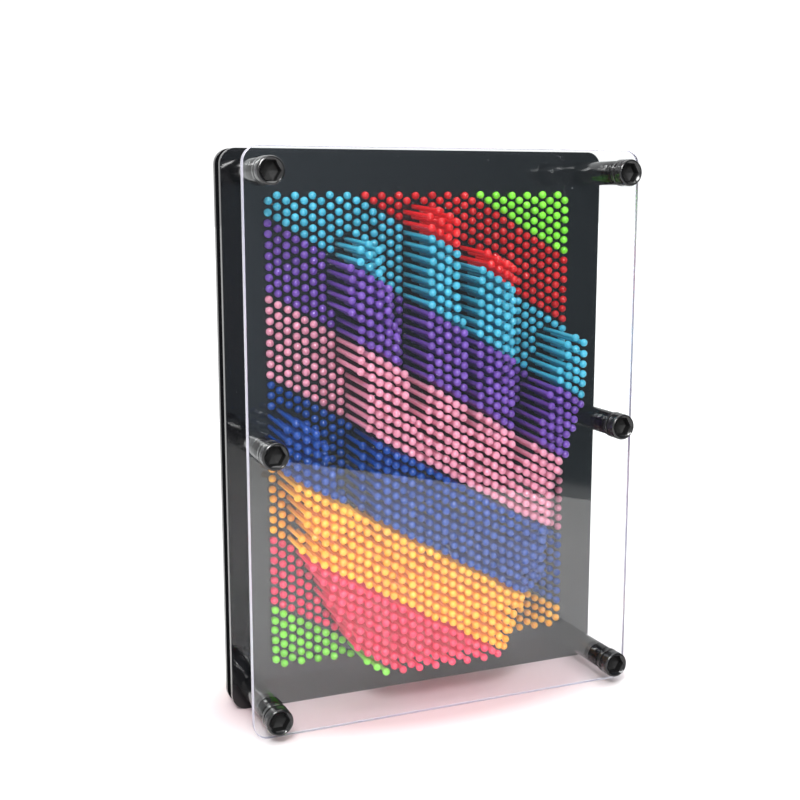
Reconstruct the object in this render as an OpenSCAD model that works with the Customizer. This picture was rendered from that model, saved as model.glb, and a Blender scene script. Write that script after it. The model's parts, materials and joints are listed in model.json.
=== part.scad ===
// Pin art impression toy: coloured pins slide through two black boards behind a clear cover.
// The front faces -Y, +X is to the right seen from the front, and the boards stand on z = 0.

/* [Boards] */
// Width of the boards and of the clear cover
board_w = 148; // [140:1:180]
// Height of the boards and of the clear cover
board_h = 200; // [190:1:240]
// Radius of the corners
corner_r = 5.5; // [3:0.5:7]
// Thickness of each pin board
board_t = 2; // [1.5:0.1:3]
// Gap between the two pin boards
board_gap = 5; // [4:0.5:6]

/* [Clear cover] */
// Thickness of the clear cover
cover_t = 2.5; // [2:0.1:3]
// Gap between the front pin board and the clear cover
cover_gap = 24.9; // [24.5:0.1:26]

/* [Pins] */
// Distance between neighbouring pins
pitch = 3.735; // [3.6:0.005:3.8]
// Diameter of a pin's ball head
head_d = 2.8; // [2.6:0.1:3]
// Diameter of a pin's shaft
shaft_d = 1.7; // [1.4:0.1:1.8]
// Diameter of the holes that the pins slide in
pin_hole_d = 2.3; // [2.3:0.1:2.4]

/* [Fasteners] */
// Outer diameter of the posts, spacers and nuts
post_d = 8.6; // [8:0.1:10]
// Distance of the posts from the boards' side edges
post_inset_x = 7.5; // [7:0.5:9]
// Distance of the corner posts from the boards' top and bottom edges
post_inset_z = 8; // [7:0.5:9]
// Diameter of the bolts' shanks
bolt_d = 4; // [3:0.5:4]
// Diameter of the bolts' heads
bolt_head_d = 9.5; // [9:0.1:11]
// Length of the bolts' heads
bolt_head_l = 6.5; // [5:0.5:7]
// Width of the bolts' hexagonal sockets across flats
socket_af = 6; // [5:0.5:6]

/* [Hidden] */

columns = 37;
column_step = pitch * sqrt(3) / 2;
// Odd columns hold one pin more, so they start and end half a pitch further out.
even_rows = 45;
middle_row = even_rows / 2;

rear_board_y = board_t + board_gap;
rear_face_y = rear_board_y + board_t;
cover_front_y = -cover_gap - cover_t;

head_r = head_d / 2;
head_rest_y = -1.3;
// The tips of resting pins stand as far behind the front board's face as the bolts stand before it.
tip_reach = bolt_head_l - cover_front_y;
pin_l = tip_reach - head_rest_y;

bolt_hole_d = bolt_d + 0.4;
nut_bore_d = bolt_d + 0.2;
nut_t = 4;
nut_chamfer = 0.6;
bolt_tail_y = rear_face_y + nut_t - 0.5;
socket_depth = 3.8;
socket_flare = 0.7;
neck_d = bolt_head_d - 1.2;
flange_t = 1.9;
neck_l = 0.7;
rim_r = 0.7;

// The colours run over the pins in slanting bands. A band ends at this many pitches down the slant.
BANDS = [
  ["upper_lime", -12, [0.43, 0.90, 0.24]],
  ["red", -5, [0.84, 0.10, 0.15]],
  ["cyan", 2, [0.29, 0.71, 0.80]],
  ["purple", 9, [0.47, 0.31, 0.71]],
  ["pink", 17, [0.96, 0.59, 0.67]],
  ["blue", 25, [0.10, 0.31, 0.69]],
  ["yellow", 32, [1.00, 0.75, 0.24]],
  ["crimson", 39, [0.92, 0.27, 0.43]],
  ["lower_lime", 99, [0.43, 0.90, 0.24]]
];

// The impression is a hand of round-ended bars pressed in from behind. Each bar has its name, its two
// ends from the boards' bottom centre, its radius, the radius of its shoulder and how deep it presses.
HAND = [
  ["thumb", [-53.4, 102], [-44.5, 76], 8.2, 3, 19.5],
  ["index", [-29.3, 162.6], [-29.2, 152], 6.6, 2.5, 21.4],
  ["index", [-28.9, 150.5], [-21.5, 108], 7.8, 2.5, 21.3],
  ["index", [-22.3, 121], [-20.5, 100], 8.4, 3, 21],
  ["middle", [-1.6, 173.4], [-1.4, 146], 7.1, 2.5, 21.5],
  ["middle", [-0.2, 138], [0.8, 100], 7.4, 2.5, 21.5],
  ["ring", [18.8, 158.7], [19.4, 96], 7.4, 3, 21.5],
  ["little", [52.3, 128], [49, 116], 6.2, 2.5, 21.4],
  ["little", [48.8, 112], [41, 90], 7.4, 2.5, 21.3],
  ["palm", [-19, 100], [-17.5, 62], 9.3, 3, 19.9],
  ["palm", [-27, 97], [-26.5, 79], 5, 4, 13.5],
  ["palm", [-1.6, 98.5], [-3, 60], 11, 4, 20.2],
  ["palm", [9.7, 97], [10, 80], 5.5, 3, 20.6],
  ["palm", [17.5, 91], [11, 60], 11.6, 4, 20.6],
  ["palm", [33, 80], [30, 50], 11, 4, 20.9],
  ["palm", [6, 72], [2, 30], 24, 7, 19.6],
  ["palm", [31, 58], [15, 20], 12, 6.5, 19.8],
  ["palm", [-38, 64], [-15, 20], 14, 7, 18.6],
  ["palm", [-12, 34], [10, 10], 16, 6, 18.9]
];

REGIONS = ["rest", "thumb", "index", "middle", "ring", "little", "palm"];

function rows(c) = c % 2 == 0 ? even_rows : even_rows + 1;
function pin_row(c, r) = c % 2 == 0 ? r + 0.5 : r;
function pin_x(c) = (c - (columns - 1) / 2) * column_step;
function pin_z(c, r) = board_h / 2 - (pin_row(c, r) - middle_row) * pitch;

function band_at(slant, i = 0) = slant < BANDS[i][1] ? i : band_at(slant, i + 1);

function clamp01(t) = min(1, max(0, t));
function segment_distance(p, a, b) =
  let (along = clamp01((p - a) * (b - a) / ((b - a) * (b - a)))) norm(p - a - along * (b - a));
function shoulder_drop(over, shoulder) = over <= 0 ? 0 : shoulder - sqrt(shoulder * shoulder - over * over);
function bar_depth(p, bar) =
  let (away = segment_distance(p, bar[1], bar[2]), radius = bar[3], shoulder = bar[4])
  away >= radius ? 0 : bar[5] - shoulder_drop(away - radius + shoulder, shoulder);
function deepest(depths) = let (top = max(depths)) [top, top == 0 ? -1 : search(top, depths)[0]];

// Every pin as [x, z, region, band, how far it stands out]
PINS = [
  for (c = [0 : columns - 1], r = [0 : rows(c) - 1])
    let (
      p = [pin_x(c), pin_z(c, r)],
      hit = deepest([for (bar = HAND) bar_depth(p, bar)])
    )
    [p[0], p[1], hit[1] < 0 ? "rest" : HAND[hit[1]][0], band_at(pin_row(c, r) - c / 2), hit[0]]
];

function pins_in(region, band) = [for (p = PINS) if (p[2] == region && p[3] == band) p];
function group_name(group) = str(group[0], "_", BANDS[group[1]][0], "_pins");

PIN_GROUPS = [
  for (region = REGIONS, band = [0 : len(BANDS) - 1])
    if (len(pins_in(region, band)) > 0) [region, band]
];

// Points its children's +Z towards the front, with their z = 0 at depth y.
module facing_front(y) {
  translate([0, y, 0]) rotate([90, 0, 0]) children();
}

module at_posts() {
  post_x = board_w / 2 - post_inset_x;
  for (x = [-post_x, post_x], z = [post_inset_z, board_h / 2, board_h - post_inset_z])
    translate([x, 0, z]) children();
}

module board_outline() {
  straight_w = board_w - 2 * corner_r;
  straight_h = board_h - 2 * corner_r;
  translate([0, board_h / 2]) {
    square([board_w, straight_h], center = true);
    square([straight_w, board_h], center = true);
    for (x = [-straight_w / 2, straight_w / 2], z = [-straight_h / 2, straight_h / 2])
      translate([x, z]) circle(r = corner_r, $fn = 64);
  }
}

module bolt_holes() {
  post_x = board_w / 2 - post_inset_x;
  for (x = [-post_x, post_x], z = [post_inset_z, board_h / 2, board_h - post_inset_z])
    translate([x, z]) circle(d = bolt_hole_d, $fn = 48);
}

module pin_board(back_y) {
  facing_front(back_y) linear_extrude(board_t) difference() {
    board_outline();
    bolt_holes();
    for (c = [0 : columns - 1], r = [0 : rows(c) - 1])
      translate([pin_x(c), pin_z(c, r)]) circle(d = pin_hole_d, $fn = 24);
  }
}

module clear_cover() {
  color([0.85, 0.93, 0.97, 0.35])
    facing_front(-cover_gap) linear_extrude(cover_t) difference() {
      board_outline();
      bolt_holes();
    }
}

module front_pin_board() {
  color([0.05, 0.05, 0.06]) pin_board(board_t);
}

module rear_pin_board() {
  color([0.05, 0.05, 0.06]) pin_board(rear_face_y);
}

module tube(outer_d, inner_d, length) {
  difference() {
    cylinder(d = outer_d, h = length, $fn = 64);
    translate([0, 0, -1]) cylinder(d = inner_d, h = length + 2, $fn = 48);
  }
}

module cover_posts() {
  color([0.08, 0.08, 0.09]) at_posts() facing_front(0) tube(post_d, bolt_hole_d, cover_gap);
}

module board_spacers() {
  color([0.08, 0.08, 0.09]) at_posts() facing_front(rear_board_y) tube(post_d, bolt_hole_d, board_gap);
}

// A bolt along +Z from its tail, with a flanged and necked head and a hexagonal socket
module tie_bolt() {
  shank_l = bolt_tail_y - cover_front_y;
  top = shank_l + bolt_head_l;
  head_edge = bolt_head_d / 2;
  difference() {
    union() {
      cylinder(d = bolt_d, h = shank_l + 1, $fn = 48);
      translate([0, 0, shank_l]) rotate_extrude($fn = 64) polygon([
        [0, 0], [head_edge - 0.2, 0], [head_edge, 0.2], [head_edge, flange_t], [neck_d / 2, flange_t + 0.2],
        [neck_d / 2, flange_t + neck_l], [head_edge, flange_t + neck_l + 0.2], [head_edge, bolt_head_l - rim_r],
        [head_edge - 0.3 * rim_r, bolt_head_l - 0.3 * rim_r], [head_edge - rim_r, bolt_head_l], [0, bolt_head_l]
      ]);
    }
    translate([0, 0, top - socket_depth]) cylinder(d = socket_af / cos(30), h = socket_depth + 1, $fn = 6);
    translate([0, 0, top - socket_flare])
      cylinder(d1 = socket_af, d2 = socket_af + 2 * socket_flare + 0.6, h = socket_flare + 0.01, $fn = 48);
  }
}

module tie_bolts() {
  color([0.07, 0.07, 0.08]) at_posts() facing_front(bolt_tail_y) tie_bolt();
}

module rear_nut() {
  difference() {
    rotate_extrude($fn = 64) polygon([
      [0, 0], [post_d / 2 - nut_chamfer, 0], [post_d / 2, nut_chamfer], [post_d / 2, nut_t], [0, nut_t]
    ]);
    translate([0, 0, -1]) cylinder(d = nut_bore_d, h = nut_t + 2, $fn = 48);
  }
}

module rear_nuts() {
  color([0.08, 0.08, 0.09]) at_posts() facing_front(rear_face_y + nut_t) rear_nut();
}

// A pin with its tip towards the back, standing out of the front board by depth
module pin(depth) {
  facing_front(tip_reach - depth) {
    cylinder(d = shaft_d, h = pin_l, $fn = 24);
    translate([0, 0, pin_l]) sphere(d = head_d, $fn = 24);
  }
}

module pin_group(group) {
  color(BANDS[group[1]][2])
    for (p = pins_in(group[0], group[1])) translate([p[0], 0, p[1]]) pin(p[4]);
}

clear_cover();
front_pin_board();
rear_pin_board();
cover_posts();
board_spacers();
tie_bolts();
rear_nuts();
for (group = PIN_GROUPS) pin_group(group);
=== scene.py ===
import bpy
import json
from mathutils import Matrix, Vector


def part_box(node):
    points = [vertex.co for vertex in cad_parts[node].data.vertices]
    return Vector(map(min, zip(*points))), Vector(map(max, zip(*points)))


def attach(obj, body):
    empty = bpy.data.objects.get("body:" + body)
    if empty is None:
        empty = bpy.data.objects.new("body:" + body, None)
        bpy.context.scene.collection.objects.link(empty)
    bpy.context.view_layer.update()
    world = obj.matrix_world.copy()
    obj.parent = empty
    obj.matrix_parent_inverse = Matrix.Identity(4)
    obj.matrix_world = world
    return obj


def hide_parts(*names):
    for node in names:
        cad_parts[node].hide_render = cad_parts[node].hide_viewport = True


bl_info = {
    "name": "Pin Art Toy",
    "version": (1, 0, 0),
    "blender": (4, 5, 0),
    "location": "View3D > Sidebar > Pin Art",
    "description": "Builds a pin art impression toy around its packed CAD frame",
    "category": "Add Mesh",
}

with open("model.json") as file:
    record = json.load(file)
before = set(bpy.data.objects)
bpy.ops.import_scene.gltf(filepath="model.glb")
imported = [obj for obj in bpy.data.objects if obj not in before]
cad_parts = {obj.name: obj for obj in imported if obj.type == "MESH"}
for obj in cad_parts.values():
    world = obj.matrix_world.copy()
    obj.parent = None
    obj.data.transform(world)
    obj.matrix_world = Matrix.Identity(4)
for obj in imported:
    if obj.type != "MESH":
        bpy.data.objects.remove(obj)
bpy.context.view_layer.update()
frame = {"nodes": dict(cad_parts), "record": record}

import json
import math
import zlib

import bmesh
import bpy
import numpy as np
from mathutils import Matrix, Vector

MM = 0.001
ROOT = "frame"
# Painted glow: how strongly a lifted pin of each plastic emits light, which makes it brighter than a
# resting pin
PLASTIC_PAINTED_GLOWS = {
    "lime": 0.05, "red": 0.45, "cyan": 0.04, "purple": 0.04,
    "pink": 0.26, "blue": 0.20, "yellow": 0.16, "crimson": 0.22,
}
# The power that makes the painted glow a deeper colour than the plastic
PAINTED_GLOW_DEEPENING = 1.3
COVER_LOW, COVER_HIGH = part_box("clear_cover")
BOARDS_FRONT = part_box("front_pin_board")[0].y
BOARDS_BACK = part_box("rear_pin_board")[1].y
# A pin whose head stands further than this from the front board counts as lifted
LIFTED_OVER = 6 * MM
# How much of its random lean and play a lifted pin keeps
LIFTED_SHARE = 0.6


# ---------------------------------------------------------------- settings


class PinSettings(bpy.types.PropertyGroup):
    """How the pins hang in their holes, and the plastics that they are moulded in"""

    segments: bpy.props.IntProperty(
        name="Segments", description="Facets round a pin", default=14, min=8, max=48
    )
    shaft_radius: bpy.props.FloatProperty(
        name="Shaft radius", description="Radius of a pin's shaft", default=0.85 * MM, unit="LENGTH"
    )
    droop: bpy.props.FloatProperty(
        name="Droop", description="Lean of a lifted pin under its own weight",
        default=math.radians(3.2), subtype="ANGLE",
    )
    lean: bpy.props.FloatProperty(
        name="Lean", description="Most that a pin leans at random",
        default=math.radians(0.5), subtype="ANGLE",
    )
    burr_share: bpy.props.FloatProperty(
        name="Burrs", description="Share of the pins whose head has a burr", default=0.10, min=0, max=1
    )
    sway: bpy.props.FloatProperty(
        name="Sway", description="Most that neighbouring lifted pins lean together",
        default=math.radians(0.75), subtype="ANGLE",
    )
    play: bpy.props.FloatProperty(
        name="Play", description="Most that a pin sits off its hole's centre",
        default=0.18 * MM, unit="LENGTH",
    )
    lime: bpy.props.FloatVectorProperty(
        name="Lime", description="Lime plastic", default=(0.20, 0.68, 0.035), subtype="COLOR"
    )
    red: bpy.props.FloatVectorProperty(
        name="Red", description="Red plastic", default=(0.50, 0.002, 0.005), subtype="COLOR"
    )
    cyan: bpy.props.FloatVectorProperty(
        name="Cyan", description="Cyan plastic", default=(0.05, 0.37, 0.51), subtype="COLOR"
    )
    purple: bpy.props.FloatVectorProperty(
        name="Purple", description="Purple plastic", default=(0.145, 0.055, 0.34), subtype="COLOR"
    )
    pink: bpy.props.FloatVectorProperty(
        name="Pink", description="Pink plastic", default=(0.60, 0.235, 0.32), subtype="COLOR"
    )
    blue: bpy.props.FloatVectorProperty(
        name="Blue", description="Blue plastic", default=(0.002, 0.048, 0.26), subtype="COLOR"
    )
    yellow: bpy.props.FloatVectorProperty(
        name="Yellow", description="Yellow plastic", default=(0.97, 0.41, 0.014), subtype="COLOR"
    )
    crimson: bpy.props.FloatVectorProperty(
        name="Crimson", description="Crimson plastic", default=(0.75, 0.025, 0.10), subtype="COLOR"
    )


class CoverSettings(bpy.types.PropertyGroup):
    """The clear acrylic sheet in front"""

    corner_radius: bpy.props.FloatProperty(
        name="Corner radius", description="Radius of the sheet's corners",
        default=5.5 * MM, unit="LENGTH",
    )
    polish_bevel: bpy.props.FloatProperty(
        name="Polished edge", description="Width of the rounding along the edges",
        default=0.22 * MM, unit="LENGTH",
    )
    bolt_hole_radius: bpy.props.FloatProperty(
        name="Bolt hole radius", description="Radius of the holes for the bolts",
        default=2.2 * MM, unit="LENGTH",
    )
    refraction: bpy.props.FloatProperty(
        name="Refraction", description="Acrylic's index of refraction", default=1.49, min=1.3, max=1.7
    )


class FastenerSettings(bpy.types.PropertyGroup):
    """Posts, spacers, bolts and nuts"""

    segments: bpy.props.IntProperty(
        name="Segments", description="Facets round a fastener, a multiple of 12", default=48, min=24, max=96
    )
    socket_flats: bpy.props.FloatProperty(
        name="Socket width", description="Width of the hexagonal socket across its flats",
        default=6 * MM, unit="LENGTH",
    )
    socket_depth: bpy.props.FloatProperty(
        name="Socket depth", description="Depth of the hexagonal socket", default=3.8 * MM, unit="LENGTH"
    )
    shank_radius: bpy.props.FloatProperty(
        name="Shank radius", description="Radius of the bolts' shanks",
        default=2 * MM, unit="LENGTH",
    )
    bore_radius: bpy.props.FloatProperty(
        name="Bore radius", description="Radius of the bores that the bolts pass through",
        default=2.2 * MM, unit="LENGTH",
    )


class StageSettings(bpy.types.PropertyGroup):
    """Floor, light and camera"""

    floor_colour: bpy.props.FloatVectorProperty(
        name="Floor", description="Colour of the floor", default=(0.86, 0.85, 0.85), subtype="COLOR"
    )
    floor_glow: bpy.props.FloatProperty(
        name="Floor glow", description="Brightness of the floor further out", default=1.45, min=0, max=10
    )
    dim_level: bpy.props.FloatProperty(
        name="Dim level", description="Brightness of the room in front, as surfaces mirror it",
        default=0.12, min=0, max=1,
    )
    azimuth: bpy.props.FloatProperty(
        name="Azimuth", description="Camera's turn round the toy from straight in front",
        default=math.radians(-22.96), subtype="ANGLE",
    )
    elevation: bpy.props.FloatProperty(
        name="Elevation", description="Camera's height above the horizon",
        default=math.radians(9.59), subtype="ANGLE",
    )
    distance: bpy.props.FloatProperty(
        name="Distance", description="Distance from the camera to what it aims at",
        default=0.45, unit="LENGTH",
    )
    aim: bpy.props.FloatVectorProperty(
        name="Aim", description="Point that the camera looks at",
        default=(-0.0101, -0.0042, 0.1106), subtype="XYZ",
    )
    lens: bpy.props.FloatProperty(
        name="Lens", description="Focal length on a 36 mm sensor", default=55.65, min=20, max=200
    )


# ---------------------------------------------------------------- shader maths


class Shade:
    """A shader socket that takes part in Python expressions"""

    def __init__(self, finish, socket):
        self.finish = finish
        self.socket = socket

    def _math(self, operation, other):
        return self.finish.node("ShaderNodeMath", {"operation": operation}, {0: self, 1: other})

    def __add__(self, other):
        return self._math("ADD", other)

    __radd__ = __add__

    def __mul__(self, other):
        return self._math("MULTIPLY", other)

    __rmul__ = __mul__

    def __gt__(self, other):
        return self._math("GREATER_THAN", other)

    def __lt__(self, other):
        return self._math("LESS_THAN", other)

    def most(self, other):
        """The larger of the two"""
        return self._math("MAXIMUM", other)


class Finish:
    """A node tree under construction: a material's or the world's"""

    def __init__(self, tree):
        self.tree = tree
        tree.nodes.clear()

    def _socket(self, sockets, key):
        if isinstance(key, int):
            return sockets[key]
        for socket in sockets:
            if socket.identifier == key:
                return socket
        return sockets[key]

    def node(self, kind, settings=None, values=None, out=0):
        """Adds a node: its settings first, then its sockets' values or links. Returns one of its outputs,
        or the node itself if it has none."""
        node = self.tree.nodes.new(kind)
        for key, value in (settings or {}).items():
            if key == "stops":
                self._stops(node.color_ramp, value)
            else:
                setattr(node, key, value)
        for key, value in (values or {}).items():
            socket = self._socket(node.inputs, key)
            if isinstance(value, Shade):
                self.tree.links.new(value.socket, socket)
            elif value is not None:
                socket.default_value = value
        return Shade(self, self._socket(node.outputs, out)) if len(node.outputs) else node

    def _stops(self, ramp, stops):
        while len(ramp.elements) < len(stops):
            ramp.elements.new(1.0)
        for element, (position, level) in zip(ramp.elements, stops):
            element.position = position
            element.color = (level, level, level, 1.0)

    def ramp(self, fac, *stops):
        """Grey that follows fac through stops of (position, level)"""
        return self.node("ShaderNodeValToRGB", {"stops": stops}, {"Fac": fac})

    def mix(self, fac, a, b):
        """A colour between a and b"""
        as_colour = lambda c: c if isinstance(c, Shade) else (*c, 1.0)
        return self.node(
            "ShaderNodeMix", {"data_type": "RGBA"},
            {"Factor_Float": fac, "A_Color": as_colour(a), "B_Color": as_colour(b)}, "Result_Color",
        )

    def vector(self, operation, a, b=None, out=0):
        return self.node("ShaderNodeVectorMath", {"operation": operation}, {0: a, 1: b}, out)

    def place(self, stretch=(1, 1, 1)):
        """The piece's own coordinates in metres, stretched"""
        spot = self.node("ShaderNodeTexCoord", out="Object")
        return spot if stretch == (1, 1, 1) else self.vector("MULTIPLY", spot, stretch)

    def axes(self, vector):
        return [self.node("ShaderNodeSeparateXYZ", {}, {0: vector}, axis) for axis in "XYZ"]

    def noise(self, scale, detail=2.0, roughness=0.5, where=None):
        return self.node(
            "ShaderNodeTexNoise", {"noise_dimensions": "3D"},
            {"Vector": where or self.place(), "Scale": scale, "Detail": detail, "Roughness": roughness},
        )

    def specks(self, scale, share, size):
        """1 on sparse round specks: share of the cells hold one, size is the largest radius in cells"""
        cells = {"Vector": self.place(), "Scale": scale}
        far = self.node("ShaderNodeTexVoronoi", {"feature": "F1"}, cells, "Distance")
        tint = self.node("ShaderNodeTexVoronoi", {"feature": "F1"}, cells, "Color")
        pick, spread, _ = self.axes(tint)
        return (far < spread * size) * (pick < share)

    def bump(self, height, distance, strength=1.0, normal=None):
        values = {"Height": height, "Distance": distance, "Strength": strength, "Normal": normal}
        return self.node("ShaderNodeBump", {}, values, "Normal")

    def principled(self, **values):
        """A Principled BSDF, its sockets named in lower case with underscores"""
        title = lambda key: key.replace("_", " ").title().replace("Ior", "IOR")
        named = {title(key): value for key, value in values.items()}
        return self.node("ShaderNodeBsdfPrincipled", {}, named)

    def finish_with(self, shader, kind="ShaderNodeOutputMaterial"):
        self.node(kind, {}, {"Surface": shader})


def material(name):
    made = bpy.data.materials.new(name)
    made.use_nodes = True
    return made, Finish(made.node_tree)


def board_acrylic():
    """Glossy black acrylic with dust, faint smears and rounded highlights along its edges"""
    made, f = material("board_acrylic")
    coarse = f.specks(scale=420, share=0.10, size=0.10)
    fine = f.specks(scale=1500, share=0.05, size=0.16)
    dust = coarse.most(fine) * f.ramp(f.noise(14), (0.42, 0.0), (0.62, 1.0))
    upright = f.place((1.0, 1.0, 0.35))
    smear = f.ramp(f.noise(30, detail=4, roughness=0.6, where=upright), (0.45, 0.0), (0.75, 1.0))
    colour = f.mix(dust * 0.55, (0.0055, 0.0057, 0.0066), (0.30, 0.31, 0.33))
    edge = f.node("ShaderNodeBevel", {"samples": 4}, {"Radius": 0.35 * MM}, "Normal")
    f.finish_with(f.principled(
        base_color=colour, roughness=0.05 + smear * 0.06 + dust * 0.5, ior=1.49,
        normal=f.bump(f.noise(60), 0.02 * MM, strength=0.6, normal=edge),
    ))
    return made


def post_plastic():
    """Black moulded plastic: fine grain with a soft sheen and a few scuffs"""
    made, f = material("post_plastic")
    grain = f.noise(2600, detail=3, roughness=0.6)
    along = f.place((1.0, 0.25, 1.0))
    scuff = f.ramp(f.noise(160, detail=5, roughness=0.65, where=along), (0.55, 0.0), (0.75, 1.0))
    colour = f.mix(scuff * 0.25, (0.0055, 0.0055, 0.006), (0.04, 0.04, 0.043))
    f.finish_with(f.principled(
        base_color=colour, roughness=0.13 + scuff * 0.12, normal=f.bump(grain, 0.01 * MM, strength=0.2),
    ))
    return made


def bolt_plastic():
    """Satin black plastic, a little paler in patches along its sharpest edges"""
    made, f = material("bolt_plastic")
    grain = f.noise(2200, detail=3, roughness=0.6)
    sharpness = f.node("ShaderNodeNewGeometry", out="Pointiness")
    patches = f.ramp(f.noise(900, detail=3), (0.35, 0.2), (0.7, 1.0))
    pale_edges = f.ramp(sharpness, (0.50, 0.0), (0.60, 1.0)) * patches
    colour = f.mix(pale_edges * 0.4, (0.006, 0.006, 0.0065), (0.05, 0.05, 0.053))
    f.finish_with(f.principled(
        base_color=colour, roughness=0.12 + f.noise(300) * 0.08,
        normal=f.bump(grain, 0.01 * MM, strength=0.25),
    ))
    return made


def socket_plastic():
    """Black plastic inside the bolts' sockets, darker and rougher than the bolt's: painted shade that keeps
    the deep sockets dark and free of bright highlights
    """
    made, f = material("socket_plastic")
    grain = f.noise(2200, detail=3, roughness=0.6)
    f.finish_with(f.principled(
        base_color=f.mix(grain, (0.002, 0.002, 0.002), (0.005, 0.005, 0.0055)),
        roughness=0.55 + grain * 0.2, specular_ior_level=0.2, normal=f.bump(grain, 0.02 * MM, strength=0.3),
    ))
    return made


def pin_plastic(name, tint, glow=0.0):
    """Semi-gloss coloured plastic: each pin a shade apart, with faint flow marks and pale flecks. It is a
    little translucent. The glow is painted light, an emission standing for the light that a lifted pin's
    bare shaft takes in."""
    made, f = material("pin_plastic_" + name)
    own = f.node("ShaderNodeNewGeometry", out="Random Per Island")
    deeper = tuple(c * 0.80 for c in tint)
    paler = tuple(min(1.0, c * 1.06 + 0.012) for c in tint)
    base = f.mix(own, deeper, paler)
    fleck = f.specks(scale=1500, share=0.012, size=0.2)
    flow = f.ramp(f.noise(300, detail=3, roughness=0.6), (0.40, 0.0), (0.70, 1.0))
    colour = f.mix(fleck * 0.6, f.mix(flow * 0.07, base, paler), (0.9, 0.9, 0.9))
    f.finish_with(f.principled(
        base_color=colour, roughness=0.15 + flow * 0.05 + fleck * 0.2, specular_ior_level=0.27,
        # Painted glow: an emission that brightens the lifted copies of the plastic
        emission_color=(*(c ** PAINTED_GLOW_DEEPENING for c in tint), 1.0), emission_strength=glow,
        subsurface_weight=0.45, subsurface_scale=2.2 * MM, subsurface_radius=(1.0, 0.8, 0.7),
        normal=f.bump(f.noise(1200), 0.01 * MM, strength=0.2),
    ))
    return made


def let_light_through(f, glass, tint):
    """Finishes a clear material so that lamps reach what is behind it and it throws no black shadow"""
    path = "ShaderNodeLightPath"
    passing = f.node(path, out="Is Shadow Ray").most(f.node(path, out="Is Diffuse Ray"))
    clear = f.node("ShaderNodeBsdfTransparent", {}, {"Color": (*tint, 1.0)})
    f.finish_with(f.node("ShaderNodeMixShader", {}, {0: passing, 1: glass, 2: clear}))


def clear_acrylic(refraction):
    """Polished clear acrylic"""
    made, f = material("clear_acrylic")
    haze = f.ramp(f.noise(45, detail=4, roughness=0.6), (0.5, 0.0), (0.8, 1.0))
    glass = f.principled(
        base_color=(0.965, 0.985, 0.985, 1.0), roughness=haze * 0.012,
        ior=refraction, transmission_weight=1.0,
    )
    let_light_through(f, glass, (0.93, 0.95, 0.96))
    return made


def cut_edge_acrylic(refraction):
    """The cut edge of the clear sheet: milky, with the cutter's fine marks across it"""
    made, f = material("cut_edge_acrylic")
    marks = f.noise(900, where=f.place((1.0, 0.05, 1.0)))
    glass = f.principled(
        base_color=f.mix(marks, (0.64, 0.62, 0.75), (0.80, 0.78, 0.90)), roughness=0.14 + marks * 0.08,
        ior=refraction, transmission_weight=0.5, normal=f.bump(marks, 0.02 * MM, strength=0.2),
    )
    let_light_through(f, glass, (0.85, 0.86, 0.90))
    return made


def floor_paper(colour, glow):
    """Pale matt paper with a painted pinkish shadow right under the toy, standing in for its contact shadow
    and the pins' colour cast on it.
    Further out the paper glows white to have no visible end"""
    made, f = material("floor_paper")
    mottled = f.mix(f.noise(9, detail=3), colour, tuple(c * 0.985 for c in colour))
    from_middle = f.vector("LENGTH", f.place((1.0, 2.0, 1.0)), out="Value")
    # Painted shadow: darker, pinker paper inside a small ellipse round the toy's foot
    painted_shadow = f.mix(f.ramp(from_middle, (0.068, 0.0), (0.100, 1.0)), (0.60, 0.47, 0.49), mottled)
    paper = f.principled(base_color=painted_shadow, roughness=0.8, specular_ior_level=0.2)
    lit = f.node("ShaderNodeEmission", {}, {"Color": (1.0, 1.0, 1.0, 1.0), "Strength": glow})
    away = f.ramp(f.vector("LENGTH", f.place(), out="Value"), (0.22, 0.0), (0.45, 1.0))
    f.finish_with(f.node("ShaderNodeMixShader", {}, {0: away, 1: paper, 2: lit}))
    return made


def mirrored(f):
    """1 for light that a glossy surface has mirrored on its way, else 0"""
    return f.node("ShaderNodeLightPath", out="Glossy Depth") > 0.5


def dim_card(level):
    """A dim bluish grey, paler towards -X, that shows only in mirroring surfaces"""
    made, f = material("dim_card")
    left = f.ramp(f.axes(f.place())[0] * 2 + 0.3, (0.32, 1.0), (0.85, 0.0))
    dark = tuple(level * c for c in (0.85, 1.08, 1.16))
    pale = tuple(level * c for c in (2.9, 3.35, 3.8))
    grey = f.node("ShaderNodeEmission", {}, {"Color": f.mix(left, dark, pale), "Strength": 1.0})
    clear = f.node("ShaderNodeBsdfTransparent")
    f.finish_with(f.node("ShaderNodeMixShader", {}, {0: mirrored(f), 1: clear, 2: grey}))
    return made


# ---------------------------------------------------------------- shapes


# Corners of the CAD's meshes that lie on one step of this grid are one corner
WELD = 0.01 * MM


def own_boxes(node):
    """The lowest and highest corners of each separate solid of a CAD node, in order of x, then z"""
    mesh = frame["nodes"][node].data
    spots = np.empty(len(mesh.vertices) * 3, np.float32)
    mesh.vertices.foreach_get("co", spots)
    spots = spots.reshape(-1, 3)
    ends = np.empty(len(mesh.edges) * 2, np.int32)
    mesh.edges.foreach_get("vertices", ends)
    grid = np.round(spots / WELD).astype(np.int64)
    _, weld = np.unique(grid, axis=0, return_inverse=True)
    weld = weld.ravel()
    a, b = weld[ends[0::2]], weld[ends[1::2]]
    label = np.arange(weld.max() + 1)
    while True:
        before = label.copy()
        np.minimum.at(label, a, label[b])
        np.minimum.at(label, b, label[a])
        label = label[label]
        if (label == before).all():
            break
    kinds, member = np.unique(label[weld], return_inverse=True)
    low = np.full((len(kinds), 3), np.inf)
    high = np.full((len(kinds), 3), -np.inf)
    np.minimum.at(low, member.ravel(), spots)
    np.maximum.at(high, member.ravel(), spots)
    order = np.lexsort((low[:, 2].round(4), low[:, 0].round(4)))
    return low[order], high[order]


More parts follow.
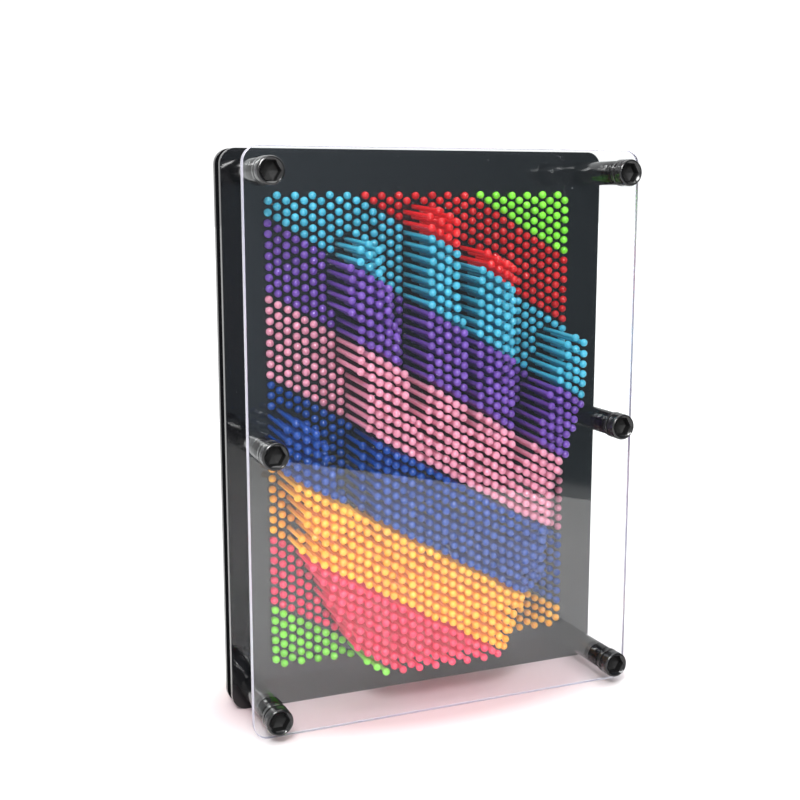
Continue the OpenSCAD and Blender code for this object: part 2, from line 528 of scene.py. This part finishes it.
def foot_spots(node, y=None):
    """The middle of each solid of a CAD node in x and z, at its front end or at y"""
    low, high = own_boxes(node)
    return [((a[0] + b[0]) / 2, a[1] if y is None else y, (a[2] + b[2]) / 2) for a, b in zip(low, high)]


def ring_points(y, radius, angles, flats=None):
    """A ring about the Y axis. With flats it is a hexagon of that width."""
    if flats:
        third = math.pi / 3
        radius = flats / 2 / np.cos(np.mod(angles, third) - third / 2)
    return np.c_[radius * np.cos(angles), np.full(len(angles), y), radius * np.sin(angles)]


def turned(rings, segments, closed_loop=False):
    """Points and faces of a solid turned about +Y from rings of (y, radius) or (y, None, flats).
    The ends are capped, or joined to each other round a bore."""
    angles = np.arange(segments) * 2 * math.pi / segments
    points = np.vstack([ring_points(r[0], r[1], angles, r[2] if len(r) > 2 else None) for r in rings])
    turn = np.arange(segments)
    following = (turn + 1) % segments
    faces = []
    pairs = [(i, i + 1) for i in range(len(rings) - 1)]
    if closed_loop:
        pairs.append((len(rings) - 1, 0))
    for i, j in pairs:
        for k, n in zip(turn, following):
            faces.append((i * segments + k, j * segments + k, j * segments + n, i * segments + n))
    if not closed_loop:
        faces.append(tuple(int(k) for k in turn))
        faces.append(tuple(int(k) for k in (len(rings) - 1) * segments + turn[::-1]))
    return points, faces


def clean(mesh, merge=None):
    """Turns the mesh's faces outwards, first joining corners that are closer than merge"""
    work = bmesh.new()
    work.from_mesh(mesh)
    if merge:
        bmesh.ops.remove_doubles(work, verts=work.verts, dist=merge)
    bmesh.ops.recalc_face_normals(work, faces=work.faces)
    work.to_mesh(mesh)
    work.free()


def add_mesh(name, points, faces, finish, sharp_over=math.radians(35)):
    """A mesh object of those points and faces, its faces turned outwards"""
    mesh = bpy.data.meshes.new(name)
    mesh.from_pydata([tuple(p) for p in points], [], [tuple(int(i) for i in f) for f in faces])
    clean(mesh)
    mesh.shade_smooth()
    mesh.set_sharp_from_angle(angle=sharp_over)
    mesh.materials.append(finish)
    piece = bpy.data.objects.new(name, mesh)
    bpy.context.scene.collection.objects.link(piece)
    return piece


def copies(points, faces, offsets):
    """The shape repeated at each offset, as one set of points and faces"""
    every = np.vstack([points + np.asarray(offset) for offset in offsets])
    joined = []
    for i in range(len(offsets)):
        joined += [tuple(v + i * len(points) for v in face) for face in faces]
    return every, joined


def settle(piece, body, node):
    """Puts a finished piece on its body, in place of its CAD node"""
    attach(piece, body)
    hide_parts(node)


def round_over(radius, rim, steps):
    """Depths and radii of a rim's rounding, from its flat face out to its side"""
    turns = [math.pi / 2 * i / steps for i in range(steps + 1)]
    return [(rim * (1 - math.cos(t)), radius - rim * (1 - math.sin(t))) for t in turns]


def pin_rings(head_radius, shaft_radius, length, steps=7):
    """Rings of one pin along +Y, with the head's centre at 0 and the cut tip at length"""
    flat, fillet, chamfer = 0.16, 0.25 * MM, 0.3 * MM
    neck = math.pi - math.asin(shaft_radius / head_radius)
    bend = [flat + (neck - flat) * i / steps for i in range(steps + 1)]
    rings = [(-head_radius * math.cos(t), head_radius * math.sin(t)) for t in bend]
    rings.append((rings[-1][0] + fillet, shaft_radius * 0.98))
    rings.append((length - chamfer, shaft_radius * 0.97))
    rings.append((length, shaft_radius * 0.78))
    return rings


BURR_FACES = ((0, 1, 3), (1, 2, 3), (2, 0, 3), (2, 1, 0))
BURR_WIDTH = 0.17 * MM
BURR_LENGTHS = (0.25, 0.5)
BURR_ROOT = 0.12 * MM


def burr(chance, head, radius):
    """The corners of a small spike of torn plastic on the side of a head, left by the mould's gate"""
    angle = chance.uniform(0, 2 * math.pi)
    length = chance.uniform(*BURR_LENGTHS) * MM
    out = np.array([math.cos(angle), -0.3, math.sin(angle)])
    out /= np.linalg.norm(out)
    side = np.cross(out, (0, 1, 0))
    side /= np.linalg.norm(side)
    rise = np.cross(side, out)
    foot = head + out * (radius - BURR_ROOT)
    thirds = [2 * math.pi * i / 3 for i in range(3)]
    corners = [foot + BURR_WIDTH * (side * math.cos(t) + rise * math.sin(t)) for t in thirds]
    return np.array(corners + [head + out * (radius + length)])


def drift(across, along):
    """A slow wave from -1 to 1 over the field of pins, which neighbours share, in radians a metre"""
    return np.sin(250 * across + 170 * along) * np.sin(150 * across - 240 * along + 1.1)


def slot_of(node):
    """The material slot that the record gives a node"""
    return next(s["material_slot"] for s in frame["record"]["subparts"] if s["node"] == node)


def body_of(node):
    """The body that carries a node"""
    return next(b for b, nodes in frame["record"]["behaviour"]["bodies"].items() if node in nodes)


# ---------------------------------------------------------------- operators


# Corners of the outline of each bolt hole
HOLE_CORNERS = 32
# Radius of the pole that closes a bolt at its tail and under its socket
POLE = 0.05 * MM


class PINART_OT_boards(bpy.types.Operator):
    """Give both pin boards their glossy black acrylic"""

    bl_idname = "pinart.boards"
    bl_label = "Pin boards"

    def execute(self, context):
        finish = board_acrylic()
        for node in ("front_pin_board", "rear_pin_board"):
            mesh = frame["nodes"][node].data
            mesh.materials.clear()
            mesh.materials.append(finish)
        return {"FINISHED"}


class PINART_OT_cover(bpy.types.Operator):
    """Make the clear cover as a rounded sheet with polished edges and bolt holes"""

    bl_idname = "pinart.cover"
    bl_label = "Clear cover"

    def outline(self, curve, low, high, radius, steps=10):
        """Adds a rounded rectangle to the curve as one closed line"""
        points = []
        corners = ((high.x, high.z, 0), (low.x, high.z, 90), (low.x, low.z, 180), (high.x, low.z, 270))
        for x, z, start in corners:
            centre_x = x - math.copysign(radius, x)
            centre_z = z - radius if z == high.z else z + radius
            for i in range(steps + 1):
                angle = math.radians(start + 90 * i / steps)
                points.append((centre_x + radius * math.cos(angle), centre_z + radius * math.sin(angle)))
        self.closed(curve, points)

    def closed(self, curve, points):
        """Adds a closed line through the points to the curve"""
        spline = curve.splines.new("POLY")
        spline.points.add(len(points) - 1)
        for point, (x, z) in zip(spline.points, points):
            point.co = (x, z, 0, 1)
        spline.use_cyclic_u = True

    def sheet(self, context, sizes):
        """The sheet's mesh, lying flat about the origin: its outline with the bolt holes, thickened"""
        curve = bpy.data.curves.new("cover_outline", "CURVE")
        curve.dimensions = "2D"
        curve.fill_mode = "BOTH"
        thickness = COVER_HIGH.y - COVER_LOW.y
        curve.bevel_depth = sizes.polish_bevel
        curve.bevel_resolution = 2
        curve.offset = -sizes.polish_bevel
        curve.extrude = thickness / 2 - sizes.polish_bevel
        self.outline(curve, COVER_LOW, COVER_HIGH, sizes.corner_radius)
        radius = sizes.bolt_hole_radius
        around = np.arange(HOLE_CORNERS) * 2 * math.pi / HOLE_CORNERS
        for x, _, z in foot_spots("cover_posts"):
            self.closed(curve, [(x + radius * math.cos(t), z + radius * math.sin(t)) for t in around])
        guide = bpy.data.objects.new("cover_outline", curve)
        context.scene.collection.objects.link(guide)
        context.view_layer.update()
        mesh = bpy.data.meshes.new_from_object(guide.evaluated_get(context.evaluated_depsgraph_get()))
        bpy.data.objects.remove(guide)
        return mesh

    def execute(self, context):
        sizes = context.scene.pinart_cover
        mesh = self.sheet(context, sizes)
        middle = Matrix.Translation((0, (COVER_LOW.y + COVER_HIGH.y) / 2, 0))
        mesh.transform(middle @ Matrix.Rotation(math.pi / 2, 4, "X"))
        clean(mesh, merge=0.001 * MM)
        mesh.materials.clear()
        mesh.materials.append(clear_acrylic(sizes.refraction))
        mesh.materials.append(cut_edge_acrylic(sizes.refraction))
        for face in mesh.polygons:
            flat = abs(face.normal.y) > 0.999
            face.use_smooth = not flat
            face.material_index = 0 if flat else 1
        piece = bpy.data.objects.new("clear_cover_sheet", mesh)
        context.scene.collection.objects.link(piece)
        settle(piece, ROOT, "clear_cover")
        return {"FINISHED"}


class PINART_OT_tubes(bpy.types.Operator):
    """Make the long posts and the short spacers as tubes with rounded rims"""

    bl_idname = "pinart.tubes"
    bl_label = "Posts and spacers"

    def execute(self, context):
        sizes = context.scene.pinart_fasteners
        finish = post_plastic()
        for node, name in (("cover_posts", "post_tubes"), ("board_spacers", "spacer_tubes")):
            low, high = own_boxes(node)
            radius = (high[0, 0] - low[0, 0]) / 2
            length = high[0, 1] - low[0, 1]
            rim = round_over(radius, 0.2 * MM, steps=2)
            rings = [(0, sizes.bore_radius), *rim]
            rings += [(length - depth, wide) for depth, wide in reversed(rim)]
            rings.append((length, sizes.bore_radius))
            points, faces = turned(rings, sizes.segments, closed_loop=True)
            piece = add_mesh(name, *copies(points, faces, foot_spots(node)), finish)
            settle(piece, ROOT, node)
        return {"FINISHED"}


class PINART_OT_bolts(bpy.types.Operator):
    """Make the bolts with flanged, necked heads and flared hexagonal sockets"""

    bl_idname = "pinart.bolts"
    bl_label = "Bolts"
    # Rings of faces, from the first, that line the socket
    SOCKET_RINGS = 4

    def socket_rings(self, sizes, front):
        """Rings from the drilled middle of the socket's floor out to its flared mouth"""
        flats = sizes.socket_flats
        floor = front + sizes.socket_depth
        flare, drill, lip = 0.7 * MM, 0.5 * MM, 0.1 * MM
        return [
            (floor + drill, POLE), (floor, None, flats - 3 * lip),
            (floor - 1.5 * lip, None, flats), (front + flare + lip, None, flats),
            (front + flare, None, flats + lip), (front + lip, flats / 2 + flare + 2.5 * lip),
            (front, flats / 2 + flare + 4 * lip),
        ]

    def head_rings(self, sizes, front, seat, radius):
        """Rings from the head's front face over its rim and its necked groove back to the seat"""
        neck, slope, edge = radius - 0.6 * MM, 0.1 * MM, 0.2 * MM
        groove_near, groove_far = seat - 2.6 * MM, seat - 1.9 * MM
        shoulder = radius - 1.5 * slope
        rim = [(front + depth, wide) for depth, wide in round_over(radius, 0.7 * MM, steps=4)]
        return rim + [
            (groove_near - edge, radius), (groove_near, shoulder), (groove_near + slope, neck),
            (groove_far - slope, neck), (groove_far, shoulder), (groove_far + edge, radius),
            (seat - edge, radius), (seat, radius - edge), (seat, sizes.shank_radius),
        ]

    def execute(self, context):
        sizes = context.scene.pinart_fasteners
        low, high = own_boxes("tie_bolts")
        radius = (high[0, 0] - low[0, 0]) / 2
        front, tail, seat = low[0, 1], high[0, 1], COVER_LOW.y
        shank, chamfer = sizes.shank_radius, 0.4 * MM
        rings = self.socket_rings(sizes, front) + self.head_rings(sizes, front, seat, radius)
        rings += [(tail - chamfer, shank), (tail, shank - chamfer), (tail, POLE)]
        points, faces = turned(rings, sizes.segments)
        spots = foot_spots("tie_bolts", y=0)
        piece = add_mesh("socket_bolts", *copies(points, faces, spots), bolt_plastic())
        # The faces inside the socket get the painted shade
        piece.data.materials.append(socket_plastic())
        inside = (*range(self.SOCKET_RINGS * sizes.segments), len(faces) - 2)
        for face in piece.data.polygons:
            face.material_index = int(face.index % len(faces) in inside)
        settle(piece, ROOT, "tie_bolts")
        return {"FINISHED"}


class PINART_OT_nuts(bpy.types.Operator):
    """Make the round nuts behind the rear board, with ribbed sides"""

    bl_idname = "pinart.nuts"
    bl_label = "Nuts"
    # Radius at the bottom of the grooves between the ribs, as a share of the nut's
    GROOVE = 0.965

    def execute(self, context):
        sizes = context.scene.pinart_fasteners
        low, high = own_boxes("rear_nuts")
        radius = (high[0, 0] - low[0, 0]) / 2
        length = high[0, 1] - low[0, 1]
        bore = sizes.shank_radius + 0.1 * MM
        back = [(length - depth, wide) for depth, wide in reversed(round_over(radius, 0.6 * MM, steps=2))]
        rings = [(0, bore), (0, radius), *back, (length, bore)]
        points, faces = turned(rings, sizes.segments * 2, closed_loop=True)
        side = np.hypot(points[:, 0], points[:, 2]) > radius - 0.01 * MM
        groove = side & (np.arange(len(points)) % 4 >= 2)
        points[groove] *= (self.GROOVE, 1.0, self.GROOVE)
        spots = foot_spots("rear_nuts")
        piece = add_mesh("round_nuts", *copies(points, faces, spots), bolt_plastic(), math.radians(25))
        settle(piece, ROOT, "rear_nuts")
        return {"FINISHED"}


class PINART_OT_pins(bpy.types.Operator):
    """Make every pin with its ball head, each with its own small lean, and lifted ones drooping a little"""

    bl_idname = "pinart.pins"
    bl_label = "Pins"

    def hang(self, chance, sizes, holes, head_y):
        """Where each pin passes the middle of the boards, and how far it leans there, in x and z"""
        count = len(holes)
        lifted = head_y < BOARDS_FRONT - LIFTED_OVER
        loose = np.where(lifted, LIFTED_SHARE, 1.0)
        sway = np.where(lifted, sizes.sway, 0.0)
        hole_x, hole_z = holes.T
        lean_x = chance.uniform(-sizes.lean, sizes.lean, count) * loose + sway * drift(hole_x, hole_z)
        lean_z = chance.uniform(-sizes.lean, sizes.lean, count) * loose + sway * drift(hole_z, hole_x)
        lean_z += np.where(lifted, sizes.droop, 0.0)
        play_x = chance.uniform(-sizes.play, sizes.play, count) * loose
        play_z = chance.uniform(-sizes.play, sizes.play, count) * loose
        return holes + np.c_[play_x, play_z], np.c_[lean_x, lean_z]

    def group(self, node, sizes, finish):
        """Makes the pins of one CAD node as one piece"""
        low, high = own_boxes(node)
        chance = np.random.default_rng(zlib.crc32(node.encode()))
        head_radius = (high[0, 0] - low[0, 0]) / 2
        rings = pin_rings(head_radius, sizes.shaft_radius, high[0, 1] - low[0, 1] - head_radius)
        points, faces = turned(rings, sizes.segments)
        head_y = low[:, 1] + head_radius
        passing, leaning = self.hang(chance, sizes, (low + high)[:, [0, 2]] / 2, head_y)
        middle = (BOARDS_FRONT + BOARDS_BACK) / 2
        spots, every = [], []
        for foot, lean, y, turn in zip(passing, leaning, head_y, chance.uniform(0, 2 * math.pi, len(low))):
            every += [tuple(v + len(spots) * len(points) for v in face) for face in faces]
            cosine, sine = math.cos(turn), math.sin(turn)
            along = points[:, 1] + y
            x = points[:, 0] * cosine - points[:, 2] * sine + foot[0] + lean[0] * (along - middle)
            z = points[:, 0] * sine + points[:, 2] * cosine + foot[1] + lean[1] * (along - middle)
            spots.append(np.c_[x, along, z])
        spots = np.vstack(spots)
        centres = passing + leaning * (head_y - middle)[:, None]
        for i in np.flatnonzero(chance.uniform(size=len(low)) < sizes.burr_share):
            every += [tuple(v + len(spots) for v in face) for face in BURR_FACES]
            head = np.array((centres[i, 0], head_y[i], centres[i, 1]))
            spots = np.vstack([spots, burr(chance, head, head_radius)])
        piece = add_mesh(node.replace("_pins", "_pin_set"), spots, every, finish, math.radians(60))
        settle(piece, body_of(node), node)

    def execute(self, context):
        sizes = context.scene.pinart_pins
        for name, glow in PLASTIC_PAINTED_GLOWS.items():
            tint = tuple(getattr(sizes, name))
            resting = pin_plastic(name, tint)
            # Lifted pins get a copy of the plastic with a painted glow, which makes them brighter than
            # resting pins
            lifted = pin_plastic(name + "_lifted", tint, glow)
            for node in sorted(frame["nodes"]):
                if slot_of(node) == "pin_" + name:
                    self.group(node, sizes, resting if node.startswith("rest_") else lifted)
        return {"FINISHED"}


class PINART_OT_stage(bpy.types.Operator):
    """Lay the pale floor and set the soft studio light and the camera"""

    bl_idname = "pinart.stage"
    bl_label = "Stage"

    def lamp(self, name, spot, target, power, size):
        """A square lamp at spot that faces target"""
        light = bpy.data.lights.new(name, "AREA")
        light.energy = power
        light.size = size
        lamp = bpy.data.objects.new(name, light)
        lamp.location = spot
        lamp.rotation_euler = (Vector(target) - Vector(spot)).to_track_quat("-Z", "Y").to_euler()
        bpy.context.scene.collection.objects.link(lamp)
        return lamp

    def surroundings(self, settings):
        """White all round where it is seen straight or through the cover. Surfaces mirror a room that is
        dim towards the open front."""
        world = bpy.data.worlds.new("studio")
        world.use_nodes = True
        bpy.context.scene.world = world
        f = Finish(world.node_tree)
        way = f.node("ShaderNodeTexCoord", out="Generated")
        open_front = f.vector("DOT_PRODUCT", way, (0.45, -0.89, 0.0), "Value")
        opening = f.ramp(open_front, (0.45, 0.0), (0.80, 1.0))
        room = f.mix(opening, (1.0, 1.0, 1.0), (settings.dim_level,) * 3)
        scattered = f.node("ShaderNodeLightPath", out="Diffuse Depth") > 0.5
        straight = f.mix(scattered, (1.12, 1.12, 1.12), (0.78, 0.78, 0.80))
        colour = f.mix(mirrored(f), straight, room)
        sky = f.node("ShaderNodeBackground", {}, {"Color": colour, "Strength": 1.0})
        f.finish_with(sky, "ShaderNodeOutputWorld")

    def floor(self, settings):
        reach = 6.0
        corners = [(-reach, -reach, 0), (reach, -reach, 0), (reach, reach, 0), (-reach, reach, 0)]
        paper = floor_paper(tuple(settings.floor_colour), settings.floor_glow)
        add_mesh("floor", corners, [(0, 1, 2, 3)], paper)

    def reflection_card(self, settings):
        """A dim card in front of the toy and to its right, which only reflections see: it ends the pale
        floor that the cover mirrors."""
        middle = Vector((0.137, -0.362, 0))
        along = Vector((0.61, 0.79, 0)) * 0.45
        tall = Vector((0, 0, 0.5))
        corners = [middle - along, middle + along, middle + along + tall, middle - along + tall]
        card = add_mesh("reflection_card", corners, [(0, 1, 2, 3)], dim_card(settings.dim_level))
        card.visible_diffuse = card.visible_shadow = False

    def camera(self, settings):
        turn, rise = settings.azimuth, settings.elevation
        away = Vector((math.sin(turn) * math.cos(rise), -math.cos(turn) * math.cos(rise), math.sin(rise)))
        data = bpy.data.cameras.new("camera")
        data.lens = settings.lens
        data.sensor_width = 36
        data.clip_start = 10 * MM
        camera = bpy.data.objects.new("camera", data)
        camera.location = Vector(settings.aim) + away * settings.distance
        camera.rotation_euler = (-away).to_track_quat("-Z", "Y").to_euler()
        bpy.context.scene.collection.objects.link(camera)
        bpy.context.scene.camera = camera

    def execute(self, context):
        settings = context.scene.pinart_stage
        self.floor(settings)
        self.surroundings(settings)
        self.reflection_card(settings)
        self.lamp("key", spot=(-0.45, -0.75, 0.95), target=(0, 0, 0.09), power=13, size=0.35)
        self.lamp("top", spot=(0.1, 0.1, 1.3), target=(0, 0, 0), power=14, size=1.1)
        # The glint lamp makes only highlights, such as the small ones on the pins' heads
        glint = self.lamp("glint", spot=(-0.17, -0.98, 0.56), target=(0, 0, 0.10), power=22, size=0.35)
        glint.visible_diffuse = False
        self.camera(settings)
        context.scene.view_settings.view_transform = "Standard"
        return {"FINISHED"}


class PINART_PT_panel(bpy.types.Panel):
    """Lists the settings, and the toy's pieces in the order they are made"""

    bl_label = "Pin Art Toy"
    bl_idname = "PINART_PT_panel"
    bl_space_type = "VIEW_3D"
    bl_region_type = "UI"
    bl_category = "Pin Art"

    def draw(self, context):
        for group in SETTINGS:
            for key in SETTINGS[group].__annotations__:
                self.layout.prop(getattr(context.scene, group), key)
        for operator in OPERATORS:
            self.layout.operator(operator.bl_idname)


SETTINGS = {
    "pinart_pins": PinSettings,
    "pinart_cover": CoverSettings,
    "pinart_fasteners": FastenerSettings,
    "pinart_stage": StageSettings,
}
OPERATORS = (
    PINART_OT_stage, PINART_OT_boards, PINART_OT_cover, PINART_OT_tubes, PINART_OT_bolts,
    PINART_OT_nuts, PINART_OT_pins,
)


def register():
    for group in SETTINGS.values():
        bpy.utils.register_class(group)
    for name, group in SETTINGS.items():
        setattr(bpy.types.Scene, name, bpy.props.PointerProperty(type=group))
    for part in (*OPERATORS, PINART_PT_panel):
        bpy.utils.register_class(part)


def unregister():
    for part in reversed((*OPERATORS, PINART_PT_panel)):
        bpy.utils.unregister_class(part)
    for name in SETTINGS:
        delattr(bpy.types.Scene, name)
    for group in reversed(SETTINGS.values()):
        bpy.utils.unregister_class(group)


def main():
    register()
    bpy.ops.pinart.stage()
    bpy.ops.pinart.boards()
    bpy.ops.pinart.cover()
    bpy.ops.pinart.tubes()
    bpy.ops.pinart.bolts()
    bpy.ops.pinart.nuts()
    bpy.ops.pinart.pins()


if __name__ == "__main__":
    main()
